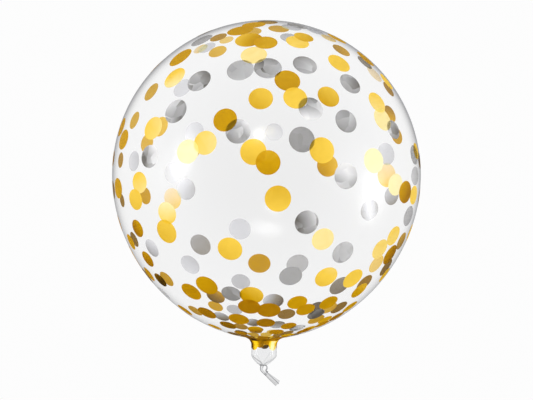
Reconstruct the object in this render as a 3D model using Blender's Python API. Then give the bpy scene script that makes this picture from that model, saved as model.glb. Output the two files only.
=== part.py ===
"""Clear bubble balloon, tied off and lying on a floor.

One blown film envelope: a round globe that swells a little towards a short straight neck, a bowl gathered
into a tied throat, and the cut tail of the film beyond the tie. Metres, +Z up. The globe's axis runs along
Y, with the crown at +Y and the neck at -Y. The floor is the plane z = 0, and the origin is the middle of
the flat spot that the globe rests on. The balloon is sealed, so its solid is full.
"""

import math

import bmesh
import bpy
from mathutils import Vector
from mathutils.geometry import interpolate_bezier

# Driving dimensions.
GLOBE_RADIUS = 0.200
NECK_SWELL = 0.066  # how much further out the film is at the neck, as a share of the radius
SWELL_SPREAD = math.radians(41)  # angle from the neck over which that fades
FLAT_RADIUS = 0.028  # the patch that the soft globe presses flat on the floor
FLARE_OPENING = math.radians(8.1)  # angle from the neck at which the globe starts to turn into it
FLARE_PULL = 0.0075  # how gently it turns
NECK_RADIUS = 0.0167
NECK_START = 0.2220  # how far along the axis the straight neck starts, from the globe's centre
NECK_END = 0.2362
BOWL_DEPTH = 0.0125  # from the end of the neck to the tied throat
BOWL_SQUARENESS = 1.2  # 1 would be a cone and 2 a quarter ellipse
THROAT_RADIUS = 0.0038
THROAT_SHIFT = -0.0012  # how far the tie pulls the throat aside
PLEATS = 9  # folds that the tie gathers in the bowl
PLEAT_DEPTH = 0.16  # share of the radius, at the throat

# Mesh density.
SIDES = 64  # round the axis
GLOBE_ROWS = 31  # from the crown to the flare
FLARE_ROWS = 6
NECK_ROWS = 2
BOWL_ROWS = 7
STRAND_SIDES = 8
STRAND_ROWS = 12
FAN_PLEATS = 3  # folds across the tail
FAN_STEPS = 18  # points across the tail, on each face
FAN_ROWS = 12

# Worked out from these.
GLOBE_CENTRE = Vector((0, 0, math.sqrt(GLOBE_RADIUS**2 - FLAT_RADIUS**2)))
THROAT = GLOBE_CENTRE + Vector((THROAT_SHIFT, -NECK_END - BOWL_DEPTH, 0))

# The tail's two strands and the fan that they open into, as points from the throat: x aside, y along the
# axis.
BROAD_STRAND = [
    (-0.0006, 0.0030), (-0.0010, -0.0013), (-0.0016, -0.0042), (-0.0006, -0.0074), (0.0045, -0.0128)
]
FINE_STRAND = [
    (0.0024, 0.0030), (0.0045, -0.0008), (0.0050, -0.0040), (0.0040, -0.0070), (0.0070, -0.0108)
]
FAN_RUN = [(0.0030, -0.0093), (0.0075, -0.0132), (0.0135, -0.0184), (0.0202, -0.0238)]
BROAD_STRAND_HALF = (0.0025, 0.0014)  # half its width and half its depth
FINE_STRAND_HALF = (0.0010, 0.0010)
FAN_WIDTHS = (0.0045, 0.0100)  # where the strands meet and at the cut end
FAN_THICKNESS = 0.0012
FAN_WAVE = 0.0009  # how far its pleats stand to either side at its cut end


def clear_scene():
    for thing in list(bpy.data.objects):
        bpy.data.objects.remove(thing, do_unlink=True)


def globe_point(turn):
    """The globe's outline at an angle from the crown, as (distance from the axis, place along +Y)."""
    radius = GLOBE_RADIUS * (1 + NECK_SWELL * math.exp(-(((math.pi - turn) / SWELL_SPREAD) ** 2)))
    return Vector((radius * math.sin(turn), radius * math.cos(turn)))


def half_section():
    """The envelope's outline from crown to throat."""
    points = [globe_point((math.pi - FLARE_OPENING) * row / GLOBE_ROWS) for row in range(GLOBE_ROWS + 1)]
    points[0].x = 0
    heading = (points[-1] - points[-2]).normalized()
    neck_top = Vector((NECK_RADIUS, -NECK_START))
    handles = points[-1] + FLARE_PULL * heading, neck_top + Vector((0, FLARE_PULL))
    points += interpolate_bezier(points[-1], *handles, neck_top, FLARE_ROWS + 1)[1:]
    neck_end = Vector((NECK_RADIUS, -NECK_END))
    points += [neck_top.lerp(neck_end, row / NECK_ROWS) for row in range(1, NECK_ROWS + 1)]
    power = 2 / BOWL_SQUARENESS
    last_turn = math.acos((THROAT_RADIUS / NECK_RADIUS) ** (1 / power))
    depth = BOWL_DEPTH / math.sin(last_turn) ** power
    for row in range(1, BOWL_ROWS + 1):
        turn = last_turn * row / BOWL_ROWS
        out = NECK_RADIUS * math.cos(turn) ** power
        points.append(Vector((out, -NECK_END - depth * math.sin(turn) ** power)))
    return points


def spin_envelope(mesh):
    """Turns the half section about the axis and closes the throat."""
    outline = [mesh.verts.new((out, along, 0)) for out, along in half_section()]
    edges = [mesh.edges.new(pair) for pair in zip(outline, outline[1:])]
    bmesh.ops.spin(
        mesh,
        geom=outline + edges,
        cent=(0, 0, 0),
        axis=(0, 1, 0),
        angle=math.tau,
        steps=SIDES,
        use_merge=True,
    )
    bmesh.ops.remove_doubles(mesh, verts=mesh.verts, dist=1e-6)
    rim = [edge for edge in mesh.edges if edge.is_boundary]
    bmesh.ops.contextual_create(mesh, geom=rim)


def gather_bowl(mesh):
    """Folds the bowl's wall in and out and pulls it aside, more and more towards the throat."""
    for vert in mesh.verts:
        share = (-vert.co.y - NECK_END) / BOWL_DEPTH
        if share > 0:
            turn = math.atan2(vert.co.z, vert.co.x)
            fold = 1 + PLEAT_DEPTH * share * math.cos(PLEATS * turn)
            vert.co.x = vert.co.x * fold + THROAT_SHIFT * share
            vert.co.z *= fold


def press_flat(mesh):
    """Cuts the globe off where it meets the floor."""
    everything = mesh.verts[:] + mesh.edges[:] + mesh.faces[:]
    cut = bmesh.ops.bisect_plane(
        mesh, geom=everything, dist=1e-6, plane_co=(0, 0, 0), plane_no=(0, 0, -1), clear_outer=True
    )
    rim = [piece for piece in cut["geom_cut"] if isinstance(piece, bmesh.types.BMEdge)]
    bmesh.ops.contextual_create(mesh, geom=rim)


def make_object(name, mesh):
    bmesh.ops.recalc_face_normals(mesh, faces=mesh.faces)
    data = bpy.data.meshes.new(name)
    mesh.to_mesh(data)
    mesh.free()
    thing = bpy.data.objects.new(name, data)
    bpy.context.scene.collection.objects.link(thing)
    return thing


def smooth_route(points, steps):
    """A Catmull-Rom curve through points beside the throat, as steps + 1 places in the model."""
    before = 2 * Vector(points[0]) - Vector(points[1])
    after = 2 * Vector(points[-1]) - Vector(points[-2])
    knots = [before, *map(Vector, points), after]
    spans = len(points) - 1
    places = []
    for step in range(steps + 1):
        span = min(step * spans // steps, spans - 1)
        t = step * spans / steps - span
        a, b, c, d = knots[span : span + 4]
        bend = 2 * b + (c - a) * t + (2 * a - 5 * b + 4 * c - d) * t**2 + (3 * b - a - 3 * c + d) * t**3
        places.append(THROAT + Vector((*(0.5 * bend), 0)))
    return places


def frames_along(route):
    """Each place on the route with the direction across it, in the plane that the route lies in."""
    for step, place in enumerate(route):
        ahead = route[min(step + 1, len(route) - 1)] - route[max(step - 1, 0)]
        yield place, Vector((-ahead.y, ahead.x, 0)).normalized()


def loft(name, rings):
    """A closed body through rings that have the same number of points."""
    mesh = bmesh.new()
    rows = [[mesh.verts.new(point) for point in ring] for ring in rings]
    for row, after in zip(rows, rows[1:]):
        for side in range(len(row)):
            beside = (side + 1) % len(row)
            mesh.faces.new((row[side], row[beside], after[beside], after[side]))
    mesh.faces.new(rows[0])
    mesh.faces.new(rows[-1])
    return make_object(name, mesh)


def strand(name, points, half):
    turns = [math.tau * side / STRAND_SIDES for side in range(STRAND_SIDES)]
    half_width, half_depth = half
    rings = []
    for place, across in frames_along(smooth_route(points, STRAND_ROWS)):
        rings.append(
            [
                place + half_width * math.cos(turn) * across + Vector((0, 0, half_depth * math.sin(turn)))
                for turn in turns
            ]
        )
    return loft(name, rings)


def pleated_fan(name):
    """The film beyond the knot, folded like a fan and cut square."""
    rings = []
    for row, (place, across) in enumerate(frames_along(smooth_route(FAN_RUN, FAN_ROWS))):
        width = FAN_WIDTHS[0] + (FAN_WIDTHS[1] - FAN_WIDTHS[0]) * row / FAN_ROWS
        upper, lower = [], []
        for step in range(FAN_STEPS + 1):
            wave = FAN_WAVE * row / FAN_ROWS * math.cos(math.tau * FAN_PLEATS * step / FAN_STEPS)
            middle = place + across * width * (step / FAN_STEPS - 0.5) + Vector((0, 0, wave))
            upper.append(middle + Vector((0, 0, FAN_THICKNESS / 2)))
            lower.append(middle - Vector((0, 0, FAN_THICKNESS / 2)))
        rings.append(upper + lower[::-1])
    return loft(name, rings)


def fuse(body, *others):
    """Joins the others to the body, so that they are one solid."""
    for other in others:
        join = body.modifiers.new(f"join_{other.name}", "BOOLEAN")
        join.operation = "UNION"
        join.object = other
        other.hide_render = True
        other.display_type = "WIRE"


def clear_film():
    material = bpy.data.materials.new("clear_film")
    material.use_nodes = True
    shader = material.node_tree.nodes["Principled BSDF"]
    shader.inputs["Base Color"].default_value = (0.94, 0.95, 0.96, 1)
    shader.inputs["Roughness"].default_value = 0.05
    shader.inputs["Metallic"].default_value = 0.0
    shader.inputs["Alpha"].default_value = 0.25
    return material


def balloon():
    mesh = bmesh.new()
    spin_envelope(mesh)
    gather_bowl(mesh)
    bmesh.ops.translate(mesh, verts=mesh.verts, vec=GLOBE_CENTRE)
    press_flat(mesh)
    envelope = make_object("balloon_film", mesh)
    envelope.data.materials.append(clear_film())
    envelope.data.shade_smooth()
    envelope.data.set_sharp_from_angle(angle=math.radians(35))
    fuse(
        envelope,
        strand("broad_strand", BROAD_STRAND, BROAD_STRAND_HALF),
        strand("fine_strand", FINE_STRAND, FINE_STRAND_HALF),
        pleated_fan("pleated_fan"),
    )


clear_scene()
balloon()
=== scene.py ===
"""Looks of the clear bubble balloon: a blown film globe printed with gold and silver dots, tied off.

Metres, +Z up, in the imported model's own frame. The globe's axis runs along Y, crown at +Y and neck at -Y.
A place on the film is given by two angles from the globe's centre: longitude round the axis, 0 at the top
and +90 towards +X, and latitude, +90 at the crown and -90 at the neck. Longitudes past 90 are underneath.
"""

import math

import bmesh
import bpy
from mathutils import Matrix, Vector
from mathutils.geometry import interpolate_bezier


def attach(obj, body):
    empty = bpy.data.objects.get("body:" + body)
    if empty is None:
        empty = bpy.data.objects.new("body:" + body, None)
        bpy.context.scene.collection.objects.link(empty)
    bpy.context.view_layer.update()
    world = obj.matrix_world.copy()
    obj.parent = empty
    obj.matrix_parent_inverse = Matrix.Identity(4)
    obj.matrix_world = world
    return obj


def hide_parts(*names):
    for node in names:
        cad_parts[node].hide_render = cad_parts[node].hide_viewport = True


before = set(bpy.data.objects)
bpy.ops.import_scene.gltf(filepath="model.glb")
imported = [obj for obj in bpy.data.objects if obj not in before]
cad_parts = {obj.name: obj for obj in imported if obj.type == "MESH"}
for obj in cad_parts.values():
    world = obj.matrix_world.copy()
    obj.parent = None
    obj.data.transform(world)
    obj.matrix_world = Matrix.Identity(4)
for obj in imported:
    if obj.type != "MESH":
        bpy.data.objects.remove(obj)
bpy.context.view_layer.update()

# The film's form, as the solid has it.
GLOBE_RADIUS = 0.200
NECK_SWELL = 0.066  # how much further out the film is at the neck, as a share of the radius
SWELL_SPREAD = math.radians(41)
FLAT_RADIUS = 0.028
FLARE_OPENING = math.radians(8.1)
FLARE_PULL = 0.0075
NECK_RADIUS = 0.0167
NECK_START = 0.2220
NECK_END = 0.2362
BOWL_DEPTH = 0.0125
BOWL_SQUARENESS = 1.2
THROAT_RADIUS = 0.0038
THROAT_SHIFT = -0.0012
PLEATS = 9
PLEAT_DEPTH = 0.16
CENTRE = Vector((0, 0, math.sqrt(GLOBE_RADIUS**2 - FLAT_RADIUS**2)))
THROAT = CENTRE + Vector((THROAT_SHIFT, -NECK_END - BOWL_DEPTH, 0))

# How finely it is drawn.
SEGMENTS = 192  # round the axis
RINGS = 96
FLARE_POINTS = 13
NECK_ROWS = 6
BOWL_ROWS = 28

FILM_INSET = 0.0003  # the film lies this far inside the solid, to leave room for the print on it
PRINT_STEP = 0.00004  # from one layer of print to the next
PRINT_THICKNESS = 0.00002
PRESSED = 0.0001  # how far the pressed patch is off the floor

# Creases in the neck and the bowl: a path as (longitude, place along Y), depth, width and how dark a painted
# shade lies along it.
CREASES = [
    ([(-72, -0.2350), (-50, -0.2378), (-34, -0.2405), (-22, -0.2432), (-12, -0.2462)], 0.0010, 0.0009, 1.0),
    ([(44, -0.2395), (45, -0.2414), (32, -0.2435), (20, -0.2455), (6, -0.2480)], 0.0007, 0.0008, 0.8),
    ([(-70, -0.2452), (-52, -0.2456), (-25, -0.2466), (18, -0.2477)], 0.0003, 0.0007, 1.0),
    ([(33, -0.2290), (38, -0.2370), (26, -0.2440)], 0.0003, 0.0010, 0.15),
    ([(150, -0.2330), (165, -0.2410), (178, -0.2480)], 0.0007, 0.0010, 0.2),
    ([(-130, -0.2320), (-150, -0.2400), (-165, -0.2475)], 0.0006, 0.0009, 0.2),
]

PLEAT_GROWTH = 1.5  # how late in the bowl the pleats deepen
THROAT_SHADE = 0.7  # painted shade on the gathered film at the throat, under the tie
THROAT_SHADE_FROM = 0.93  # share of the bowl's depth
THROAT_SHADE_RISE = 10

# Clear film.
FILM_ROUGHNESS = 0.13
FILM_COLOUR = (0.95, 0.95, 0.96)
# the painted shade along folds and creases
FOLD_SHADE_COLOUR = (0.50, 0.50, 0.51)
MIRRORED_FACE_ON = 0.060  # the share of light that both its faces throw back
MIRRORED_EDGE_ON = 0.14  # how much more that is edge on
# Edge on, the film greys and is painted darker still, as painted shade for the dim studio it mirrors there;
# this fades along Y.
SMOKIEST = 0.99  # how far towards edge on it is smokiest
SMOKE_GROWTH = 1.5
EDGE_SHADE_ALONG = (-0.18, 0.12, 0.6, 1.25)  # from one place along Y to another, how much of the edge's painted shade there is

# Metallic ink. Scales are per metre.
CLOUD_SCALE = 45
GRAIN_SCALE = 170
CLOUD_TONE = 0.08  # how much its clouds change its tone
CLOUD_RELIEF = 0.8
CLOUD_SHADE = (0.3, 0.7, 0.9, 1.1)  # from one height of the clouds to another, the metal's shade
GRAIN_RELIEF = 0.15
CREASE_SCALE = 62.0  # creases in the silver print
WANDER_SCALE = 45
WANDER_REACH = 0.006  # how far they stray from straight
CREASE_STEP = 0.35  # how much the painted reflection jumps from one facet to the next
CREASE_SLOPE = 1.5  # and how much it changes across one
CREASE_MIDDLE = 0.18
CREASE_RELIEF = 0.25
CREASED_AT = 16  # a dot whose sides differ this much in tone is creased all over
PRINT_GLOSS = 0.028  # how much the film over it mirrors
GOLD_PASS = (0.97, 0.90, 0.45)  # the light that goes through it to the rest of the balloon
SILVER_PASS = (0.36, 0.36, 0.36)

SIDE_STRETCH = 0.45  # how much wider the print is at the film's sides
SIDE_SPREAD = 25  # latitude over which that fades
UNSTRETCHED_BELOW = -100  # longitudes below this are not let out

DOT_SIDES = 36
DOT_RINGS = 3  # of faces, so that a dot can follow the film
DOT_RING_WIDTH = 0.125  # as a share of the dot's width
PRINT_SHARP = math.radians(40)  # where the print's faces meet more steeply, their edge stays sharp
FILM_SHARP = math.radians(60)

# Printed dots, as (longitude, latitude, mm across, tone from 0 for the deepest to 100 for the palest). The
# tone is partly the print's own shade and partly painted highlight and reflection. Some go on with how much
# paler one side is, the heading of that side, from +X towards +Y, and how much paler the middle is: painted
# reflection and highlight.
GOLD_TOP = [
    (-15, 17.5, 29, 48), (-4.5, 6.5, 31, 69, 6, 90), (0.5, 3, 29, 50, 5, 100),
    (-2.5, 25.5, 29, 63, 7, 50), (-7, 45, 32, 86), (-12, 54.5, 34, 53, 14, 140), (-1.5, 52.5, 29, 52),
    (-51, 45.5, 33, 47), (-44, 35, 31, 80, 12, 300), (-45.5, 15, 29, 79, 4, 0),
    (-21.5, 9.5, 29, 80, 4, 0), (-28, 6.5, 29, 98), (-22.5, 62.5, 33, 45), (-15, 69, 30, 47),
    (8, 33, 31, 47, 4, 80), (10.5, 26, 29, 73), (24, 27, 28, 59, 9, 60), (19, 7.5, 31, 71, 6, 0),
    (36, 42.5, 30, 72), (48, 26, 28, 79, 4, 240), (48, 19.5, 29, 91), (40, 4.5, 30, 99),
    (17.5, 53.5, 29, 76), (24, 57.5, 25, 59, 6, 150), (60.5, 60, 27, 47), (66, 47.5, 28, 45),
    (69, 36.5, 25, 71), (-74, 16.5, 25, 44), (-66, 11.5, 26, 47), (52, -3.5, 27, 96),
    (59.5, -6, 28, 38, 12, 160), (68.5, -7, 24, 76), (-50.5, -4, 26, 78, 6, 300),
    (-54, -10, 26, 70, 4, 60), (-69, -6, 26, 48), (-37.5, -14.5, 27, 84, 10, 90),
    (-39.5, -21.2, 30, 66, 5, 60), (-57, -20.5, 23, 37, 12, 30), (-69.5, -26, 21.5, 45),
    (-59, -32.5, 22.5, 34, 8, 60), (-69.5, -39.5, 22, 42), (-59, -41.5, 21.5, 3, 14, 120),
    (-13.5, -27, 30, 69, 5, 70), (-28, -42.5, 29, 45, 3, 120), (-39.5, -46, 28, 41),
    (-6.5, -46.5, 29, 55, 12, 60), (-8.5, -52.5, 28, 33), (2.5, -54.3, 29, 34), (4, -9, 31, 66, 6, 270),
    (21.5, -23, 28, 86), (27.5, -38, 29.5, 73, 5, 60), (43, -39, 29, 73), (58, -22, 26, 78),
    (51.5, -27, 27, 80), (62.5, -29.5, 28, 31, 14, 150), (80, -21, 23, 60), (73, -38.5, 22.5, 56),
    (54.5, -45, 25, 51, 8, 40), (37, -50.5, 25, 45), (17.5, -50, 25, 48), (24.5, -54, 24, 43),
    (-18, -60.4, 26, 38), (-40, -57.5, 25, 28), (-65.5, -57.5, 23, 38), (-55, -68.5, 19, 42),
    (-31.5, -65.5, 22, 18), (1, -62.5, 23, 27), (-8, -68, 20, 38, 14, 90), (-29, -73, 17, 32),
    (20, -65, 20, 37), (12.5, -70.5, 19, 37), (47, -68.5, 20, 50), (50, -61.5, 20, 52),
    (61.5, -60, 22, 30), (63, -54, 23, 47), (56, -65, 20, 37), (33, -75, 17, 50), (-77, 65, 23, 20),
    (-79, 43, 22, 20), (-80, 5, 20, 17), (88, 6, 22, 23), (84, -7.5, 25, 20), (-82, -19, 22, 36),
    (-82, -31, 23, 42), (-82, -36, 20, 30), (-88, -41, 24, 35), (-88, -6.5, 24, 40), (-80, -62, 19, 34),
    (-74, -79, 18, 40), (72.5, 9, 21, 62), (46, -70.5, 20, 30),
]
GOLD_UNDER = [
    (-140, 57.5, 26, 62, 4, 60), (-110, 33.5, 28, 57), (-107, 21, 25, 60), (-128, 19.5, 29, 66, 5, 30),
    (-122, 12.5, 27, 60), (-147, 10.5, 27, 62), (-102, 5, 21, 42), (-154, 74, 30, 60),
    (-123, 66.5, 24, 42), (-137, 65.5, 20, 80), (-121.5, 57.7, 21, 84, 12, 140), (161, 78, 28, 54),
    (106, 65.5, 22, 85), (114.5, 57.5, 26.5, 46, 8, 40), (100, 35.5, 23, 38),
    (113, 25.5, 25, 44, 12, 240), (113, 16.5, 24, 48), (104, 43, 27, 95), (123.5, 1, 33, 84, 8, 90),
    (154, 5, 32, 52, 12, 30), (-168, 88, 27, 48, 0, 0, 15), (-102.5, -10.5, 18, 32),
    (-122.5, -8.5, 24, 49), (-138, -9.5, 30, 88, 8, 120), (-104, -26, 22, 22), (-115, -44, 25, 50),
    (-177, -37.5, 32, 45), (-146, -54, 27, 27, 22, 60), (-140.5, -59.5, 22, 52), (-113.5, -61, 22, 46),
    (-147, -74, 20, 36), (114, -35.5, 28, 79), (99, -25, 25, 42, 8, 120), (100, -36.5, 27, 20),
    (113, -44.5, 28, 30), (125.5, -59, 24, 56), (124, -66.5, 24, 50), (160.5, -64.5, 24.5, 22),
    (115, -58, 26, 22),
]
SILVER_TOP = [
    (-10, 13.5, 30, 50, 36, 50), (-12, 37.5, 33, 47, 5, 0), (0, 38.5, 33.5, 34, 18, 320),
    (-29.5, 33, 31, 32, 18, 200), (-36, 21, 31, 44, 18, 150), (-45, 5, 28, 54, 42, 15),
    (16, 22, 30, 64, 38, 290), (29.5, 18, 29, 45, 20, 60), (12, 11, 31, 32, 3, 60),
    (28, -1, 31, 72, 26, 80), (17, 40.5, 30, 40, 10, 300), (36.5, 33, 29, 31, 12, 200),
    (31.5, 69.5, 27, 27, 6, 0), (53.5, 16, 24, 46, 24, 170), (69, 7.5, 25, 34),
    (14.5, -17, 29, 31, 20, 20), (31.5, -28, 29, 57, 5, 45), (11, -37.5, 28, 39),
    (-16.5, -46, 25, 28, 5, 60), (-71, -48.5, 21, 55), (34.5, -57, 23, 3, 6, 90),
    (30.5, -67, 21, 38, 36, 60), (-78, 49.5, 24, 38),
]
SILVER_UNDER = [
    (-132.5, 37, 30, 89), (-126.5, 59, 25, 84), (-107, 62.5, 31, 53), (-114.5, 5, 28, 86, 14, 180),
    (-147, 18, 30, 95, 16, 190), (-138.5, 1, 30, 90), (-145, -5.5, 31, 78, 20, 160),
    (177, 19, 26, 80, 5, 250), (156, 69, 27, 64), (130, 78.5, 27, 76), (103, 71.5, 24, 84),
    (102, 49, 25, 30), (123, 9.5, 31, 80, 9, 150), (99, 0.5, 25, 72), (119.5, -7, 27, 56, 20, 130),
    (101, -15, 28, 58), (132, -13, 30, 76, 0, 10, 50), (-168.5, -22, 32, 79, 3, 200),
    (-148.5, -29, 32, 41, 4, 120), (-139, -38, 30.5, 80, 12, 230), (-166, -46.5, 27, 64),
    (-117.5, -30, 27, 75, 30, 50), (-155, -62, 22, 63), (-137, -66, 22, 38, 36, 90),
    (-167, -71, 21, 27, 36, 110), (163.5, -37.5, 32, 56), (132.5, -47, 32, 23, 6, 120), (139, -59, 22, 3),
    (174, -56.8, 29, 33, 40, 150), (164, -72.5, 22, 36, 24, 270),
]

# The solid print round the neck, and the dots that crowd together just above it.
SLACK_FROM = -0.2190  # from here on the film isn't blown out, so it is thicker
BAND_TOP = -0.2118
BAND_TOP_RADIUS = 0.0245
BAND_LEAST = -0.2202  # the print reaches at least this far down
BAND_LOBES = [  # (longitude, lowest place along Y, radius)
    (-52, -0.2275, 0.0068), (-18, -0.2240, 0.0056), (45, -0.2277, 0.0066), (88, -0.2262, 0.0060),
    (128, -0.2240, 0.0058), (178, -0.2288, 0.0066), (-138, -0.2250, 0.0062), (-96, -0.2266, 0.0060),
]
BAND_TONES = [  # (longitude, tone), once round: its pale stripes paint the soft boxes' reflections and its deep ones the dim studio mirrored in the band
    (0, 0.28), (12, 0.37), (18, 0.44), (25, 0.86), (34, 1.0), (46, 1.0), (57, 0.92), (66, 0.60),
    (78, 0.35), (88, 0.15), (110, 0.30), (135, 0.40), (150, 0.20), (160, 0.02), (195, 0.02), (210, 0.20),
    (230, 0.30), (260, 0.15), (285, 0.06), (299, 0.08), (306, 0.50), (312, 0.82), (321, 0.88),
    (327, 0.84), (334, 0.60), (341, 0.32), (350, 0.22), (360, 0.25),
]
FLARE_FROM = -0.2150  # above here the band's tone is that of the flare
FLARE_TONES = [  # (longitude, tone), once round, where the neck opens into the globe; its pale tones paint glints there
    (0, 0.14), (14, 0.24), (30, 0.42), (44, 0.40), (50, 0.20), (66, 0.42), (90, 0.30), (125, 0.35),
    (148, 0.45), (156, 0.92), (168, 0.95), (173, 0.75), (178, 1.0), (184, 0.80), (190, 0.45), (202, 0.38),
    (208, 0.92), (213, 0.80), (219, 0.15), (240, 0.05), (256, 0.30), (275, 0.32), (298, 0.20),
    (312, 0.02), (328, 0.02), (338, 0.20), (348, 0.26), (360, 0.14),
]
CROWD_TONES = [  # the same, where dots crowd together just outside the flare, with glints painted the same way
    (0, 0.25), (30, 0.30), (50, 0.05), (80, 0.35), (125, 0.35), (148, 0.45), (156, 0.92), (168, 0.95),
    (178, 1.0), (190, 0.45), (202, 0.38), (208, 0.92), (219, 0.15), (240, 0.05), (270, 0.35), (300, 0.25),
    (318, 0.02), (335, 0.30), (360, 0.25),
]
BAND_SIDES = 144
BAND_ROWS = [(-0.2130, 0.0215), (-0.2146, 0.0199), (-0.2155, 0.0190), (-0.2185, 0.0175)]  # (along Y, radius)
BAND_STRAIGHT_FROM = -0.2200
BAND_STRAIGHT_ROWS = 6
BAND_ROW_STEP = 0.0012
BAND_LET_DOWN_FROM = -0.2195  # rows below this are let down to the lobes
CROWD = [(-79.0, 17, 11), (-82.2, 16, 10)]  # (latitude, mm across, how many round the neck)
CROWD_TURN = 13  # degrees, from one ring of the crowd to the next
CROWD_DEEPEST = 12
CROWD_RANGE = 58  # from its deepest tone to its palest

# The tail beyond the tie, as points from the throat: x aside, y along the axis.
BROAD_STRAND = [
    (-0.0006, 0.0012), (-0.0010, -0.0013), (-0.0015, -0.0042), (-0.0006, -0.0070), (0.0050, -0.0125),
]
FINE_STRAND = [
    (0.0030, 0.0012), (0.0051, -0.0013), (0.0050, -0.0040), (0.0037, -0.0067), (0.0062, -0.0090),
]
FAN_RUN = [(0.0034, -0.0090), (0.0075, -0.0130), (0.0135, -0.0182), (0.0196, -0.0232)]
TAIL_ROWS = 20
TAIL_STEPS = 24  # across it
TAIL_THICKNESS = 0.0003
FOLD_DRIFT = 0.15  # how far the folds drift across the tail from row to row
PEAK_MIDDLE = 0.58  # where across the cut end it stands out
PEAK_SPREAD = 0.2

# The floor and the air, in metres and in brightness, where white is 1.
FLOOR_SIZE = 24
FLOOR_DROP = 0.0003
FLOOR_LIGHT_NEAR = 1.9
FLOOR_LIGHT_FAR = 1.0
FLOOR_MIRRORED = 0.45
FLOOR_MIRRORED_NECK = 0.03
FLOOR_MIRRORED_POOL = 0.65
FLOOR_SEEN = 0.98
# a painted shadow under the balloon
FLOOR_SEEN_SHADOWED = 0.94
AIR_COLOUR = (0.9, 0.95, 1.0)
AIR_MIRRORED_LOW = 0.45
AIR_MIRRORED_NECK = 0.02
AIR_MIRRORED_HIGH = 0.12
AIR_LIGHT = 0.9
AIR_SEEN_COLOUR = (0.80, 0.81, 0.83)

# Soft boxes, as (name, degrees off straight up, heading, distance, size, radiance, core). The first of both
# sizes is the level one. To the left and the right is a large pale panel with a bright middle each.
SOFT_BOXES = [
    ("left_panel", 82, 182, 1.2, (1.3, 1.3), 0.44, 0.0),
    ("left_middle", 66, 177, 1.3, (0.85, 0.60), 0.25, 0.0),
    ("right_panel", 82, 356, 1.1, (1.2, 1.3), 0.9, 0.0),
    ("right_middle", 77, 350, 1.0, (0.66, 0.46), 4.2, 0.1),
    ("crown_box", 26, 104, 1.6, (0.30, 0.44), 5.5, 0.2),
    ("neck_box", 36.5, 270, 1.5, (0.80, 0.34), 2.6, 0.2),
]

# The camera.
FOCAL_LENGTH = 93.34
SENSOR_WIDTH = 36
CAMERA_PLACE = Vector((0.0005, -0.033, 1.8))  # from the globe's centre
CAMERA_TURN = math.radians(0.8)
CLEAR_LAYERS = 48  # how many clear films and prints light may go through


# Shader maths ---------------------------------------------------------------------------------------------


class Wire:
    """One output socket, so that shader maths is written as arithmetic."""

    def __init__(self, finish, socket):
        self.finish = finish
        self.socket = socket

    def maths(self, operation, first, second):
        return self.finish.node("Math", {"operation": operation}, {0: first, 1: second})

    def __add__(self, other):
        return self.maths("ADD", self, other)

    def __sub__(self, other):
        return self.maths("SUBTRACT", self, other)

    def __mul__(self, other):
        return self.maths("MULTIPLY", self, other)

    def __pow__(self, other):
        return self.maths("POWER", self, other)

    __radd__ = __add__
    __rmul__ = __mul__


class Finish:
    """The nodes of a material, a lamp or the world."""

    def __init__(self, owner):
        owner.use_nodes = True
        self.owner = owner
        self.tree = owner.node_tree
        self.tree.nodes.clear()

    def node(self, kind, settings=None, sockets=None, output=0):
        """Adds a node, sets it up, feeds its sockets with values or wires, and gives one of its outputs."""
        made = self.tree.nodes.new("ShaderNode" + kind)
        for name, value in (settings or {}).items():
            if name == "stops":
                ramp = made.color_ramp
                while len(ramp.elements) < len(value):
                    ramp.elements.new(0.5)
                for element, (place, colour) in zip(ramp.elements, value):
                    element.position, element.color = place, (*colour, 1)
            else:
                setattr(made, name, value)
        for name, value in (sockets or {}).items():
            if isinstance(value, Wire):
                self.tree.links.new(value.socket, made.inputs[name])
            else:
                made.inputs[name].default_value = value
        return Wire(self, made.outputs[output]) if made.outputs else None

    def mix(self, share, first, second):
        """first where share is 0 and second where it is 1, for shaders."""
        return self.node("MixShader", {}, {0: share, 1: first, 2: second})

    def step(self, value, start, end, low=0.0, high=1.0):
        """value, from start to end, as a smooth step from low to high."""
        return self.node(
            "MapRange",
            {"interpolation_type": "SMOOTHSTEP"},
            {"Value": value, "From Min": start, "From Max": end, "To Min": low, "To Max": high},
        )

    def noise(self, place, scale, detail=2.0, roughness=0.5, distortion=0.0):
        shape = {"Scale": scale, "Detail": detail, "Roughness": roughness, "Distortion": distortion}
        return self.node("TexNoise", {}, {"Vector": place, **shape})

    def noise_shift(self, place, scale, reach):
        """A vector that wanders by up to reach to either side."""
        wander = self.node("TexNoise", {}, {"Vector": place, "Scale": scale, "Detail": 1.0}, "Color")
        centred = self.node("VectorMath", {"operation": "SUBTRACT"}, {0: wander, 1: (0.5, 0.5, 0.5)})
        return self.node("VectorMath", {"operation": "SCALE"}, {0: centred, "Scale": 2 * reach})

    def other(self, wire, output):
        """Another output of the node that a wire comes from."""
        return Wire(self, wire.socket.node.outputs[output])

    def object_place(self):
        return self.node("TexCoord", {}, {}, "Object")

    def surface(self, shader, kind="OutputMaterial"):
        self.node(kind, {}, {"Surface": shader})
        return self.owner


# Modelling helpers ----------------------------------------------------------------------------------------


def clear_selection():
    if bpy.context.mode != "OBJECT":
        bpy.ops.object.mode_set(mode="OBJECT")
    bpy.ops.object.select_all(action="DESELECT")


def take(piece):
    """Makes piece the only selected and the active object."""
    clear_selection()
    piece.select_set(True)
    bpy.context.view_layer.objects.active = piece


def edit(piece, mode="VERT"):
    take(piece)
    bpy.ops.object.mode_set(mode="EDIT")
    bpy.ops.mesh.select_mode(type=mode)
    bpy.ops.mesh.select_all(action="DESELECT")


def pick(piece, wanted):
    """Selects the vertices that wanted says yes to, and the edges and faces between them."""
    mesh = bmesh.from_edit_mesh(piece.data)
    for vert in mesh.verts:
        vert.select_set(wanted(vert.co))
    mesh.select_flush(True)
    mesh.select_flush(False)
    bmesh.update_edit_mesh(piece.data)


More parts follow.
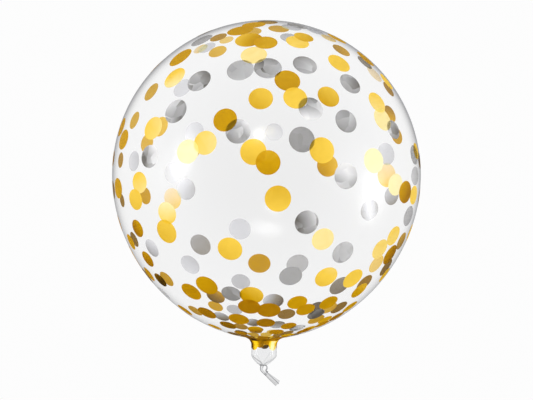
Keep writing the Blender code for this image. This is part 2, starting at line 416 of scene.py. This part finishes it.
def settle(piece):
    """Puts the piece's place into its mesh, so that its object is at the origin."""
    take(piece)
    bpy.ops.object.transform_apply(location=True, rotation=True, scale=True)


def merge(pieces):
    """Joins pieces into the first one."""
    take(pieces[0])
    for piece in pieces[1:]:
        piece.select_set(True)
    if len(pieces) > 1:
        bpy.ops.object.join()
    return pieces[0]


def modify(piece, kind, **settings):
    take(piece)
    modifier = piece.modifiers.new(kind.lower(), kind)
    for name, value in settings.items():
        setattr(modifier, name, value)
    bpy.ops.object.modifier_apply(modifier=modifier.name)


# The film -------------------------------------------------------------------------------------------------


def globe_radius(turn):
    """How far the film is from the globe's centre at an angle from the crown."""
    swell = NECK_SWELL * math.exp(-(((math.pi - turn) / SWELL_SPREAD) ** 2))
    return GLOBE_RADIUS * (1 + swell) - FILM_INSET


def neck_outline():
    """The film from where the globe ends to the throat, as (distance from the axis, place along Y)."""
    turn = math.pi - FLARE_OPENING
    end = Vector((globe_radius(turn) * math.sin(turn), globe_radius(turn) * math.cos(turn)))
    before = turn - math.radians(1)
    heading = end - Vector((globe_radius(before) * math.sin(before), globe_radius(before) * math.cos(before)))
    heading.normalize()
    radius = NECK_RADIUS - FILM_INSET
    start = Vector((radius, -NECK_START))
    handles = end + FLARE_PULL * heading, start + Vector((0, FLARE_PULL))
    points = interpolate_bezier(end, *handles, start, FLARE_POINTS)
    for row in range(1, NECK_ROWS + 1):
        points.append(Vector((radius, -NECK_START - (NECK_END - NECK_START) * row / NECK_ROWS)))
    power = 2 / BOWL_SQUARENESS
    last_turn = math.acos((THROAT_RADIUS / NECK_RADIUS) ** (1 / power))
    depth = BOWL_DEPTH / math.sin(last_turn) ** power
    for row in range(1, BOWL_ROWS + 1):
        turn = last_turn * row / BOWL_ROWS
        points.append(Vector((radius * math.cos(turn) ** power, -NECK_END - depth * math.sin(turn) ** power)))
    return points


def blown_film():
    """The globe, from a ball 1 m in radius: each ring is brought in to its own radius, larger at the neck."""
    clear_selection()
    bpy.ops.mesh.primitive_uv_sphere_add(
        segments=SEGMENTS, ring_count=RINGS, radius=1, location=(0, 0, 0), rotation=(-math.pi / 2, 0, 0)
    )
    film = bpy.context.object
    film.name = film.data.name = "film"
    settle(film)
    edit(film)
    half_ring = math.pi / RINGS / 2
    for ring in range(RINGS + 1):
        turn = math.pi * ring / RINGS
        low, high = math.cos(turn + half_ring), math.cos(turn - half_ring)
        if ring == 0:
            pick(film, lambda co: co.y > math.cos(half_ring))
        elif ring == RINGS:
            pick(film, lambda co: co.y < -math.cos(half_ring))
        else:
            # Rings that have been brought in are well under half a metre from the middle.
            pick(film, lambda co: low < co.normalized().y < high and co.length > 0.5)
        size = globe_radius(turn)
        bpy.ops.transform.resize(value=(size, size, size), center_override=(0, 0, 0))
    return film


def draw_out_neck(film):
    """Cuts the globe off where its neck begins, and draws the neck and the bowl out of the cut."""
    outline = neck_outline()
    edit(film)
    bpy.ops.mesh.select_all(action="SELECT")
    bpy.ops.mesh.bisect(plane_co=(0, outline[0].y, 0), plane_no=(0, 1, 0), clear_inner=True, threshold=1e-6)
    pick(film, lambda co: co.y < outline[0].y + 2e-5)
    # Bisecting leaves the rim a hair off the wanted radius, so it is let out to it.
    rim = [vert.co for vert in bmesh.from_edit_mesh(film.data).verts if vert.select]
    start = sum(math.hypot(co.x, co.z) for co in rim) / len(rim)
    size = outline[0].x / start
    bpy.ops.transform.resize(value=(size, 1, size), center_override=(0, 0, 0))
    for before, after in zip(outline, outline[1:]):
        bpy.ops.mesh.extrude_edges_move(TRANSFORM_OT_translate={"value": (0, after.y - before.y, 0)})
        size = after.x / before.x
        bpy.ops.transform.resize(value=(size, 1, size), center_override=(0, 0, 0))
    bpy.ops.mesh.edge_face_add()
    gather_bowl(film)


def gather_bowl(film):
    """Gathers the bowl in fine pleats, more and more towards the throat, presses its creases in, and paints
    shade along them and at the throat.
    """
    mesh = bmesh.from_edit_mesh(film.data)
    fold = mesh.verts.layers.float.new("fold")
    for vert in mesh.verts:
        share = (-vert.co.y - NECK_END) / BOWL_DEPTH
        if share <= 0 and vert.co.y > -NECK_START:
            continue
        turn = math.atan2(vert.co.x, vert.co.z)
        out = math.hypot(vert.co.x, vert.co.z)
        if out < 1e-6:
            continue
        pleat = max(share, 0) ** PLEAT_GROWTH * PLEAT_DEPTH * math.cos(PLEATS * turn)
        size = 1 + pleat
        for path, depth, width, shade_strength in CREASES:
            crease = crease_share(turn, vert.co.y, out, path, width)
            size -= depth / out * crease
            vert[fold] = max(vert[fold], shade_strength * crease)
        shaded = min(THROAT_SHADE, THROAT_SHADE_RISE * (share - THROAT_SHADE_FROM))
        vert[fold] = max(vert[fold], shaded)
        shift = THROAT_SHIFT * max(share, 0)
        vert.co.x = vert.co.x * size + shift
        vert.co.z *= size
    bmesh.update_edit_mesh(film.data)


def crease_share(turn, along, out, path, width):
    """How much of a crease's depth is at a place on the neck: 1 on its path, fading to 0 to both sides."""
    nearest = 1.0
    for (turn_a, along_a), (turn_b, along_b) in zip(path, path[1:]):
        a = Vector((math.radians(turn_a) * out, along_a))
        b = Vector((math.radians(turn_b) * out, along_b))
        here = Vector((turn * out, along))
        t = max(0, min(1, (here - a).dot(b - a) / (b - a).length_squared))
        nearest = min(nearest, (here - a.lerp(b, t)).length)
    return math.exp(-((nearest / width) ** 2))


def set_down(film):
    """Moves the film to its place and presses its lowest patch flat on the floor."""
    edit(film)
    bpy.ops.mesh.select_all(action="SELECT")
    bpy.ops.transform.translate(value=CENTRE)
    pick(film, lambda co: co.z < PRESSED)
    bpy.ops.transform.resize(value=(1, 1, 0), center_override=(0, 0, PRESSED))
    bpy.ops.mesh.select_all(action="SELECT")
    bpy.ops.mesh.normals_make_consistent(inside=False)
    bpy.ops.object.mode_set(mode="OBJECT")
    bpy.ops.object.shade_smooth()


# The print ------------------------------------------------------------------------------------------------


def film_place(longitude, latitude):
    """A place on the film and the way out of it there."""

    def place(longitude, latitude):
        turn = math.radians(90 - latitude)
        out = globe_radius(turn) * math.sin(turn)
        return CENTRE + Vector(
            (
                out * math.sin(math.radians(longitude)),
                globe_radius(turn) * math.cos(turn),
                out * math.cos(math.radians(longitude)),
            )
        )

    here = place(longitude, latitude)
    along = place(longitude, latitude + 0.5) - place(longitude, latitude - 0.5)
    if latitude > 85:  # too near the crown for a heading across
        return here, (here - CENTRE).normalized()
    across = place(longitude + 0.5, latitude) - place(longitude - 0.5, latitude)
    return here, across.cross(along).normalized()


def let_out(longitude, latitude):
    """How much wider round the axis a dot is than along it: the film is let out most at its sides."""
    if longitude < UNSTRETCHED_BELOW:
        return 1.0
    fade = math.exp(-((latitude / SIDE_SPREAD) ** 2))
    return 1 + SIDE_STRETCH * math.sin(math.radians(longitude)) ** 4 * fade


def flat_dot():
    """One flat dot, 1 m across, in rings of faces so that it can follow the film."""
    clear_selection()
    bpy.ops.mesh.primitive_circle_add(vertices=DOT_SIDES, radius=0.5, fill_type="NGON")
    dot = bpy.context.object
    edit(dot, "FACE")
    bpy.ops.mesh.select_all(action="SELECT")
    for _ in range(DOT_RINGS):
        bpy.ops.mesh.inset(thickness=DOT_RING_WIDTH)
    bpy.ops.mesh.poke()
    bpy.ops.object.mode_set(mode="OBJECT")
    return dot


def layers_of(dots):
    """Sorts dots into layers, none of which has two dots that overlap."""

    def apart(dot, other):
        reach = dot[2] * let_out(*dot[:2]) + other[2] * let_out(*other[:2])  # both widths, in mm
        return (film_place(*dot[:2])[0] - film_place(*other[:2])[0]).length > reach / 2000

    layers = []
    for dot in dots:
        for layer in layers:
            if all(apart(dot, other) for other in layer):
                layer.append(dot)
                break
        else:
            layers.append([dot])
    return layers


def dot_tones(dot, points):
    """The tone at each point of a dot, from 0 to 1, with its painted shine to one side and in the middle.
    points are counted from its middle.
    """
    tone, side_shine, heading, middle_shine = (*dot[3:], 0, 0, 0)[:4]
    way = Vector((math.cos(math.radians(heading)), math.sin(math.radians(heading)), 0))
    sides = [point.dot(way) for point in points]
    reach = max(sides)
    return [(tone + side_shine * side / reach + middle_shine * (0.5 - abs(side / reach))) / 100 for side in sides]


def creasing(dot):
    """How creased a dot's print is: the more its one side is painted paler, the more creased."""
    return min(1.0, (*dot[4:], 0)[0] / CREASED_AT)


def print_dots(name, dots, film, height, outer, inner):
    """Copies the flat dot to each place, then lays each layer on the film at its own height."""
    pattern = flat_dot()
    sheets = []
    for layer in layers_of(dots):
        copies = []
        for dot in layer:
            place, outwards = film_place(*dot[:2])
            copy = pattern.copy()
            copy.data = pattern.data.copy()
            bpy.context.scene.collection.objects.link(copy)
            along = Vector((0, 1, 0)).cross(outwards).normalized()
            turned = Matrix((along, outwards.cross(along), outwards)).transposed().to_4x4()
            toned = copy.data.attributes.new("tone", "FLOAT", "POINT")
            toned.data.foreach_set("value", dot_tones(dot, [turned @ vert.co for vert in copy.data.vertices]))
            creased = copy.data.attributes.new("creased", "FLOAT", "POINT")
            creased.data.foreach_set("value", [creasing(dot)] * len(copy.data.vertices))
            size = dot[2] / 1000
            shape = Matrix.Diagonal((size * let_out(*dot[:2]), size, size, 1))
            copy.matrix_world = Matrix.Translation(place) @ turned @ shape
            copies.append(copy)
        sheet = merge(copies)
        settle(sheet)
        modify(
            sheet,
            "SHRINKWRAP",
            target=film,
            wrap_method="NEAREST_SURFACEPOINT",
            wrap_mode="ABOVE_SURFACE",
            offset=height + PRINT_STEP * len(sheets),
        )
        sheet.data.materials.append(outer)
        sheet.data.materials.append(inner)
        modify(sheet, "SOLIDIFY", thickness=PRINT_THICKNESS, offset=-1, material_offset=1)
        sheets.append(sheet)
    bpy.data.objects.remove(pattern, do_unlink=True)
    piece = merge(sheets)
    piece.name = piece.data.name = name
    bpy.ops.object.shade_smooth_by_angle(angle=PRINT_SHARP)
    return piece, height + PRINT_STEP * len(sheets)


def band_edge(turn):
    """How low the neck's solid print reaches at an angle round it: the lobes of the dots that make it up."""
    lowest = BAND_LEAST
    for longitude, low, radius in BAND_LOBES:
        apart = (turn - math.radians(longitude) + math.pi) % math.tau - math.pi
        beside = apart * NECK_RADIUS
        if abs(beside) < radius:
            lowest = min(lowest, low + radius - math.sqrt(radius**2 - beside**2))
    return lowest


def tone_round(tones, longitude):
    """How pale the print is at a longitude, from (longitude, tone) once round the neck."""
    longitude %= 360
    for (start, low), (end, high) in zip(tones, tones[1:]):
        if start <= longitude <= end:
            share = (longitude - start) / (end - start)
            return low + (high - low) * share * share * (3 - 2 * share)
    return tones[0][1]


def neck_band(film, height, outer, inner):
    """The solid print round the neck: a sleeve drawn down row by row and let down to the lobes."""
    clear_selection()
    bpy.ops.mesh.primitive_circle_add(
        vertices=BAND_SIDES, radius=BAND_TOP_RADIUS, location=(0, BAND_TOP, 0), rotation=(math.pi / 2, 0, 0)
    )
    band = bpy.context.object
    band.name = band.data.name = "neck_band"
    settle(band)
    edit(band)
    bpy.ops.mesh.select_all(action="SELECT")
    rows = BAND_ROWS.copy()
    for step in range(BAND_STRAIGHT_ROWS + 1):
        rows.append((BAND_STRAIGHT_FROM - BAND_ROW_STEP * step, NECK_RADIUS))
    before = (BAND_TOP, BAND_TOP_RADIUS)
    for along, out in rows:
        bpy.ops.mesh.extrude_edges_move(TRANSFORM_OT_translate={"value": (0, along - before[0], 0)})
        size = out / before[1]
        bpy.ops.transform.resize(value=(size, 1, size), center_override=(0, 0, 0))
        before = (along, out)
    mesh = bmesh.from_edit_mesh(band.data)
    tone = mesh.verts.layers.float.new("tone")
    for vert in mesh.verts:
        turn = math.atan2(vert.co.x, vert.co.z)
        tones = FLARE_TONES if vert.co.y > FLARE_FROM else BAND_TONES
        vert[tone] = tone_round(tones, math.degrees(turn))
        if vert.co.y < BAND_LET_DOWN_FROM:
            share = (BAND_LET_DOWN_FROM - vert.co.y) / (BAND_LET_DOWN_FROM - before[0])
            vert.co.y = BAND_LET_DOWN_FROM + (band_edge(turn) - BAND_LET_DOWN_FROM) * share
    bmesh.update_edit_mesh(band.data)
    bpy.ops.mesh.select_all(action="SELECT")
    bpy.ops.transform.translate(value=CENTRE)
    bpy.ops.mesh.normals_make_consistent(inside=False)
    bpy.ops.object.mode_set(mode="OBJECT")
    modify(
        band,
        "SHRINKWRAP",
        target=film,
        wrap_method="NEAREST_SURFACEPOINT",
        wrap_mode="ABOVE_SURFACE",
        offset=height,
    )
    band.data.materials.append(outer)
    band.data.materials.append(inner)
    modify(band, "SOLIDIFY", thickness=PRINT_THICKNESS, offset=-1, material_offset=1)
    bpy.ops.object.shade_smooth_by_angle(angle=PRINT_SHARP)
    return band


# The tail -------------------------------------------------------------------------------------------------


def smooth_route(points, steps):
    """A Catmull-Rom curve through points beside the throat, as steps + 1 places in the model."""
    before = 2 * Vector(points[0]) - Vector(points[1])
    after = 2 * Vector(points[-1]) - Vector(points[-2])
    knots = [before, *map(Vector, points), after]
    spans = len(points) - 1
    places = []
    for step in range(steps + 1):
        span = min(step * spans // steps, spans - 1)
        t = step * spans / steps - span
        a, b, c, d = knots[span : span + 4]
        bend = 2 * b + (c - a) * t + (2 * a - 5 * b + 4 * c - d) * t**2 + (3 * b - a - 3 * c + d) * t**3
        places.append(THROAT + Vector((*(0.5 * bend), 0)))
    return places


def strip(name, points, widths, folds, depth, lift, lines, haze=0.0, peak=0.0):
    """A strip of film along a route, gathered across in folds.

    lines are painted shade along its folds, as (share across at the start, share across at the end, half
    width, how dark).
    haze is how grey the rest is, and peak is how far its end stands out past the middle.
    """
    route = smooth_route(points, TAIL_ROWS)
    clear_selection()
    bpy.ops.mesh.primitive_grid_add(x_subdivisions=TAIL_STEPS, y_subdivisions=TAIL_ROWS, size=1)
    piece = bpy.context.object
    piece.name = piece.data.name = name
    edit(piece)
    mesh = bmesh.from_edit_mesh(piece.data)
    fold = mesh.verts.layers.float.new("fold")
    for vert in mesh.verts:
        share = vert.co.x + 0.5
        run = vert.co.y + 0.5
        vert[fold] = haze
        for start, end, half_width, shade_strength in lines:
            beside = share - (start + (end - start) * run)
            vert[fold] = max(vert[fold], shade_strength * math.exp(-((beside / half_width) ** 2)))
        row = round(run * TAIL_ROWS)
        ahead = route[min(row + 1, TAIL_ROWS)] - route[max(row - 1, 0)]
        across = Vector((-ahead.y, ahead.x, 0)).normalized()
        width = widths[0] + (widths[1] - widths[0]) * run
        wave = depth * math.cos(math.tau * folds * share + FOLD_DRIFT * row)
        stretch = peak * run**4 * math.exp(-(((share - PEAK_MIDDLE) / PEAK_SPREAD) ** 2))
        vert.co = route[row] + across * width * (share - 0.5) + Vector((0, 0, wave + lift))
        vert.co += ahead.normalized() * stretch
    bmesh.update_edit_mesh(piece.data)
    bpy.ops.object.mode_set(mode="OBJECT")
    modify(piece, "SOLIDIFY", thickness=TAIL_THICKNESS, offset=0)
    return piece


# Finishes -------------------------------------------------------------------------------------------------


def film_mirroring(facing):
    """The share of light that both faces of thin film throw back: little until it is seen edge on."""
    return MIRRORED_FACE_ON + MIRRORED_EDGE_ON * facing**8


def film_finish(name, clear_colour, edge_colour, edge_start, wave_scale, wave_depth):
    """Clear film that lets by what it doesn't mirror. Edge on it greys, painted darker still as painted
    shade, and painted shade lies along its folds.
    """
    finish = Finish(bpy.data.materials.new(name))
    facing = finish.node("LayerWeight", {}, {"Blend": 0.5}, "Facing")
    waves = finish.noise(finish.object_place(), wave_scale)
    bump = finish.node("Bump", {}, {"Height": waves, "Strength": 0.5, "Distance": wave_depth})
    gloss = finish.node(
        "BsdfGlossy", {}, {"Color": (*FILM_COLOUR, 1), "Roughness": FILM_ROUGHNESS, "Normal": bump}
    )
    clear = finish.node("BsdfTransparent", {}, {"Color": (*clear_colour, 1)})
    shaded = finish.node("BsdfTransparent", {}, {"Color": (*edge_colour, 1)})
    fold_shaded = finish.node("BsdfTransparent", {}, {"Color": (*FOLD_SHADE_COLOUR, 1)})
    along = finish.node("SeparateXYZ", {}, {0: finish.object_place()}, "Y")
    edge = finish.step(facing, edge_start, SMOKIEST) ** SMOKE_GROWTH * finish.step(along, *EDGE_SHADE_ALONG)
    fold = finish.node("Attribute", {"attribute_name": "fold"}, {}, "Fac")
    # The fold attribute paints shade along creases and folds and at the throat.
    through = finish.mix(fold, finish.mix(edge, clear, shaded), fold_shaded)
    return finish.surface(finish.mix(film_mirroring(facing), through, gloss))


def ink(
    name, tones, brightness, colour, rough, sheen_share, clear_share, relief_depth, passes,
    gloss=0.0, crease_shine=0,
):
    """Printed metallic ink, seen from one side through clear film.

    The light from behind glows through it in the colour of the dot's own tone, which also paints highlights
    and reflections on it; its metal sheen lies on that, and the film mirrors a little over both. tones are
    (tone from 0 to 1, colour). passes is the colour of the light that it lets by to the rest of the balloon,
    and gloss is how much the film over it mirrors. Where the last argument isn't 0 the ink is creased like
    foil and bumped, and each facet is painted paler or deeper by that much, as a painted reflection.
    """
    finish = Finish(bpy.data.materials.new(name))
    facing = finish.node("LayerWeight", {}, {"Blend": 0.5}, "Facing")
    place = finish.object_place()
    cloud = finish.noise(place, CLOUD_SCALE, distortion=1.0)
    grain = finish.noise(place, GRAIN_SCALE, detail=3.0, roughness=0.6, distortion=1.5)
    tone = finish.node("Attribute", {"attribute_name": "tone"}, {}, "Fac") + CLOUD_TONE * (cloud - 0.5)
    relief = CLOUD_RELIEF * cloud + GRAIN_RELIEF * grain
    if crease_shine:
        creased = finish.node("Attribute", {"attribute_name": "creased"}, {}, "Fac")
        wander = finish.noise_shift(place, WANDER_SCALE, WANDER_REACH)
        bent = finish.node("VectorMath", {"operation": "ADD"}, {0: place, 1: wander})
        facet = finish.node("TexVoronoi", {}, {"Vector": bent, "Scale": CREASE_SCALE}, "Color")
        middle = finish.other(facet, "Position")
        beside = finish.node("VectorMath", {"operation": "SUBTRACT"}, {0: bent, 1: middle})
        slant = finish.node("VectorMath", {"operation": "SUBTRACT"}, {0: facet, 1: (0.5, 0.5, 0.5)})
        rise = finish.node("VectorMath", {"operation": "DOT_PRODUCT"}, {0: beside, 1: slant}, "Value")
        facet_shine = finish.node("SeparateColor", {}, {0: facet}, "Red")
        # The facets' tone jumps and slopes are painted reflection on the creased foil; they also bump it.
        facet_shine_and_relief = CREASE_STEP * facet_shine + CREASE_SLOPE * CREASE_SCALE * rise
        tone = tone + crease_shine * creased * (facet_shine_and_relief - CREASE_MIDDLE)
        relief = relief + CREASE_RELIEF * creased * facet_shine_and_relief

    def glowing(tint):
        tint = [brightness * part for part in tint]
        return finish.node("BsdfTranslucent", {}, {"Color": (*tint, 1)})

    glow = glowing(tones[0][1])
    for (low, _), (high, tint) in zip(tones, tones[1:]):
        share = finish.node(
            "MapRange", {}, {"Value": tone, "From Min": low, "From Max": high, "To Min": 0.0, "To Max": 1.0}
        )
        glow = finish.mix(share, glow, glowing(tint))
    shade = finish.step(cloud, *CLOUD_SHADE)
    grey = finish.node("CombineColor", {}, {0: shade, 1: shade, 2: shade})
    multiply = {"data_type": "RGBA", "blend_type": "MULTIPLY"}
    # For colours, sockets 6 and 7 are what is mixed and output 2 is the outcome.
    base = finish.node("Mix", multiply, {0: 1.0, 6: (*colour, 1), 7: grey}, 2)
    bump = finish.node("Bump", {}, {"Height": relief, "Strength": 1.0, "Distance": relief_depth})
    metal = {"Base Color": base, "Metallic": 1.0, "Roughness": rough, "Normal": bump}
    sheen = finish.node("BsdfPrincipled", {}, metal)
    clear = finish.node("BsdfTransparent", {}, {"Color": (*tones[1][1], 1)})
    away = finish.node("BsdfTransparent", {}, {"Color": (1, 1, 1, 1)})
    over = finish.node("BsdfGlossy", {}, {"Color": (1, 1, 1, 1), "Roughness": FILM_ROUGHNESS})
    body = finish.mix(clear_share, finish.mix(sheen_share, glow, sheen), clear)
    covered = finish.mix(gloss + gloss * facing**6, body, over)
    is_looked_at = finish.node("LightPath", {}, {}, "Is Camera Ray")
    let_by = finish.node("BsdfTransparent", {}, {"Color": (*passes, 1)})
    seen = finish.mix(is_looked_at, let_by, covered)
    back = finish.node("NewGeometry", {}, {}, "Backfacing")
    return finish.surface(finish.mix(back, seen, away))


def srgb(red, green, blue):
    """A colour as it looks on a screen, from 0 to 255, in the linear values that shaders take."""
    return tuple(((part / 255 + 0.055) / 1.055) ** 2.4 for part in (red, green, blue))


def floor_finish():
    """A pale floor lit from below.

    It is bright wherever it is looked at, but for a painted shadow a little darker under the balloon, and
    lights the balloon mostly from the crown's side. Where the film mirrors it, it is dim on the neck's side
    and has a paler pool to the left.
    """
    finish = Finish(bpy.data.materials.new("pale_floor"))
    place = finish.object_place()

    def emission(strength):
        return finish.node("Emission", {}, {"Color": (1, 1, 1, 1), "Strength": strength})

    def from_point(*point):
        return finish.node("VectorMath", {"operation": "DISTANCE"}, {0: place, 1: point}, "Value")

    far = finish.step(from_point(0, 0.10, 0), 0.25, 1.0)
    lighting = finish.mix(far, emission(FLOOR_LIGHT_NEAR), emission(FLOOR_LIGHT_FAR))
    along = finish.node("SeparateXYZ", {}, {0: place}, "Y")
    pool = finish.step(from_point(-0.38, 0.05, 0), 0.03, 0.12, 1.0, 0.0)
    pale = finish.mix(pool, emission(FLOOR_MIRRORED), emission(FLOOR_MIRRORED_POOL))
    crown_side = finish.step(along, -0.35, 0.10)
    mirrored = finish.mix(crown_side, emission(FLOOR_MIRRORED_NECK), pale)
    # painted shadow: darker where the floor is looked at under the balloon
    outside_shadow = finish.step(from_point(0, -0.01, 0), 0.03, 0.18)
    seen = finish.mix(outside_shadow, emission(FLOOR_SEEN_SHADOWED), emission(FLOOR_SEEN))
    is_mirrored = finish.node("LightPath", {}, {}, "Is Glossy Ray")
    is_looked_at = finish.node("LightPath", {}, {}, "Is Camera Ray")
    return finish.surface(finish.mix(is_looked_at, finish.mix(is_mirrored, lighting, mirrored), seen))


# The balloon ----------------------------------------------------------------------------------------------

film = blown_film()
draw_out_neck(film)
set_down(film)
globe_film = film_finish(
    "clear_film", (1, 1, 1), (0.63, 0.63, 0.64), edge_start=0.62, wave_scale=14, wave_depth=0.004
)
neck_film = film_finish(
    "slack_film", (0.965, 0.967, 0.97), (0.64, 0.64, 0.65), edge_start=0.33, wave_scale=160, wave_depth=0.0015
)
film.data.materials.append(globe_film)
film.data.materials.append(neck_film)
for face in film.data.polygons:
    face.material_index = int(face.center.y < SLACK_FROM)

# Tone ramps, from deep to pale. Beside the inks' own colours, their pale ends paint highlights and their deep
# ends the dim studio that the ink mirrors; the brown low end of silver_in_tones paints a warm reflection.
gold_tones = [
    (0.0, srgb(58, 38, 0)), (0.33, srgb(165, 114, 0)), (0.5, srgb(202, 154, 4)),
    (0.75, srgb(247, 208, 80)), (1.0, srgb(255, 250, 208)),
]
gold_in_tones = [
    (0.0, srgb(66, 48, 12)), (0.33, srgb(160, 119, 38)), (0.5, srgb(208, 157, 14)),
    (0.75, srgb(250, 208, 84)), (1.0, srgb(250, 235, 210)),
]
silver_tones = [
    (0.0, srgb(88, 83, 77)), (0.5, srgb(182, 182, 187)), (0.8, srgb(226, 226, 233)),
    (1.0, srgb(250, 250, 255)),
]
silver_in_tones = [
    (0.0, srgb(95, 74, 44)), (0.3, srgb(148, 137, 118)), (0.5, srgb(184, 182, 181)),
    (0.8, srgb(228, 228, 232)), (1.0, srgb(252, 252, 255)),
]
band_tones = [
    (0.0, srgb(45, 25, 0)), (0.4, srgb(172, 120, 0)), (0.7, srgb(232, 182, 5)),
    (0.9, srgb(255, 215, 40)), (1.0, srgb(255, 248, 190)),
]
gold_out = ink(
    "gold_print", gold_tones, 0.885, (0.80, 0.55, 0.07), rough=0.30, sheen_share=0.10, clear_share=0.04,
    relief_depth=0.0008, passes=GOLD_PASS, gloss=PRINT_GLOSS,
)
gold_in = ink(
    "gold_print_behind", gold_in_tones, 0.70, (0.70, 0.50, 0.14), rough=0.30, sheen_share=0.10,
    clear_share=0.04, relief_depth=0.0004, passes=GOLD_PASS,
)
band_out = ink(
    "neck_print", band_tones, 1.0, (1.0, 0.74, 0.08), rough=0.14, sheen_share=0.16, clear_share=0.02,
    relief_depth=0.0004, passes=GOLD_PASS, gloss=PRINT_GLOSS,
)
band_in = ink(
    "neck_print_behind", band_tones, 0.8, (0.50, 0.36, 0.12), rough=0.30, sheen_share=0.2, clear_share=0.02,
    relief_depth=0.0004, passes=GOLD_PASS,
)
silver_out = ink(
    "silver_print", silver_tones, 0.90, (0.80, 0.80, 0.80), rough=0.20, sheen_share=0.16, clear_share=0.04,
    relief_depth=0.0020, passes=SILVER_PASS, gloss=PRINT_GLOSS, crease_shine=0.50,
)
silver_in = ink(
    "silver_print_behind", silver_in_tones, 0.645, (0.80, 0.80, 0.82), rough=0.22, sheen_share=0.15,
    clear_share=0.04, relief_depth=0.0008, passes=SILVER_PASS,
)

crowd = []
for ring, (latitude, across, count) in enumerate(CROWD):
    for place in range(count):
        longitude = 360 * (place + 0.5 * ring) / count + CROWD_TURN * ring
        tone = CROWD_DEEPEST + CROWD_RANGE * tone_round(CROWD_TONES, longitude)
        crowd.append((longitude, latitude, across, tone))

silver = SILVER_TOP + SILVER_UNDER
gold = GOLD_TOP + GOLD_UNDER + crowd
silver_dots, top = print_dots("silver_dots", silver, film, PRINT_STEP, silver_out, silver_in)
gold_dots, top = print_dots("gold_dots", gold, film, top, gold_out, gold_in)
band = neck_band(film, top, band_out, band_in)
broad = strip(
    "broad_strand", BROAD_STRAND, widths=(0.0052, 0.0030), folds=1.5, depth=0.0006, lift=0.0002,
    lines=[(0.05, 0.10, 0.14, 1.0), (0.75, 0.60, 0.16, 0.4)],
)
fine = strip(
    "fine_strand", FINE_STRAND, widths=(0.0014, 0.0030), folds=1.0, depth=0.0004, lift=-0.0002,
    lines=[(0.5, 0.8, 0.35, 0.8)],
)
fan = strip(
    "cut_end", FAN_RUN, widths=(0.0046, 0.0088), folds=3, depth=0.0008, lift=0,
    lines=[(0.0, 0.15, 0.08, 0.6), (0.2, 0.35, 0.07, 0.4), (0.85, 0.58, 0.06, 1.0), (0.98, 0.95, 0.06, 0.3)],
    haze=0.12, peak=0.0012,
)
for part in (broad, fine, fan):
    part.data.materials.clear()
    part.data.materials.append(neck_film)
merge([film, broad, fine, fan])
bpy.ops.object.shade_smooth_by_angle(angle=FILM_SHARP)

slots = [
    (film, "clear_film"),
    (silver_dots, "silver_print"),
    (gold_dots, "gold_print"),
    (band, "gold_print"),
]
for piece, name in slots:
    settle(piece)
    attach(piece, "root")
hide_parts("balloon_film")


# Floor, light and camera ----------------------------------------------------------------------------------

clear_selection()
bpy.ops.mesh.primitive_plane_add(size=FLOOR_SIZE, location=(0, 0, -FLOOR_DROP))
floor = bpy.context.object
floor.name = "floor"
floor.data.materials.append(floor_finish())


def soft_box(name, off_view, heading, distance, size, radiance, core):
    """A rectangular light that faces the globe, at an angle off straight up.

    Its heading is counted from +X towards +Y. radiance is how bright its middle looks, where white is 1, and
    it fades to its edges from core on, a share of the way out.
    """
    off, turn = math.radians(off_view), math.radians(heading)
    way = Vector((math.sin(off) * math.cos(turn), math.sin(off) * math.sin(turn), math.cos(off)))
    data = bpy.data.lights.new(name, "AREA")
    data.shape = "RECTANGLE"
    data.size, data.size_y = size
    data.energy = radiance * math.pi * size[0] * size[1]
    finish = Finish(data)
    spot = finish.node("NewGeometry", {}, {}, "Parametric")
    out = finish.node("VectorMath", {"operation": "DISTANCE"}, {0: spot, 1: (0.5, 0.5, 0)}, "Value")
    strength = finish.step(out, 0.5 * core, 0.5, 1.0, 0.0)
    finish.surface(finish.node("Emission", {}, {"Color": (1, 1, 1, 1), "Strength": strength}), "OutputLight")
    box = bpy.data.objects.new(name, data)
    bpy.context.scene.collection.objects.link(box)
    side = Vector((-math.sin(turn), math.cos(turn), 0))
    axes = Matrix((side, way.cross(side), way)).transposed().to_4x4()
    box.matrix_world = Matrix.Translation(CENTRE + distance * way) @ axes
    box.visible_camera = False


for box in SOFT_BOXES:
    soft_box(*box)


def studio_air():
    """A plain grey studio: pale where it is looked at, dim where the film mirrors it, dimmest at the neck."""
    finish = Finish(bpy.data.worlds.new("studio"))

    def air(strength, colour=AIR_COLOUR):
        return finish.node("Background", {}, {"Color": (*colour, 1), "Strength": strength})

    way = finish.node("TexCoord", {}, {}, "Generated")
    along = finish.node("SeparateXYZ", {}, {0: way}, "Y")
    up = finish.node("SeparateXYZ", {}, {0: way}, "Z")
    low_down = finish.mix(finish.step(along, -0.9, 0.5), air(AIR_MIRRORED_NECK), air(AIR_MIRRORED_LOW))
    mirrored = finish.mix(finish.step(up, 0.1, 0.95), low_down, air(AIR_MIRRORED_HIGH))
    lighting = air(AIR_LIGHT, (1.0, 1.0, 1.0))
    is_mirrored = finish.node("LightPath", {}, {}, "Is Glossy Ray")
    is_looked_at = finish.node("LightPath", {}, {}, "Is Camera Ray")
    seen = air(1.0, AIR_SEEN_COLOUR)
    mixed = finish.mix(is_looked_at, finish.mix(is_mirrored, lighting, mirrored), seen)
    bpy.context.scene.world = finish.surface(mixed, "OutputWorld")


studio_air()

camera_data = bpy.data.cameras.new("camera")
camera = bpy.data.objects.new("camera", camera_data)
bpy.context.scene.collection.objects.link(camera)
camera_data.sensor_width = SENSOR_WIDTH
camera_data.lens = FOCAL_LENGTH
camera.location = CENTRE + CAMERA_PLACE
camera.rotation_euler = (0, 0, CAMERA_TURN)
bpy.context.scene.camera = camera
bpy.context.scene.view_settings.view_transform = "Standard"
bpy.context.scene.cycles.transparent_max_bounces = CLEAR_LAYERS
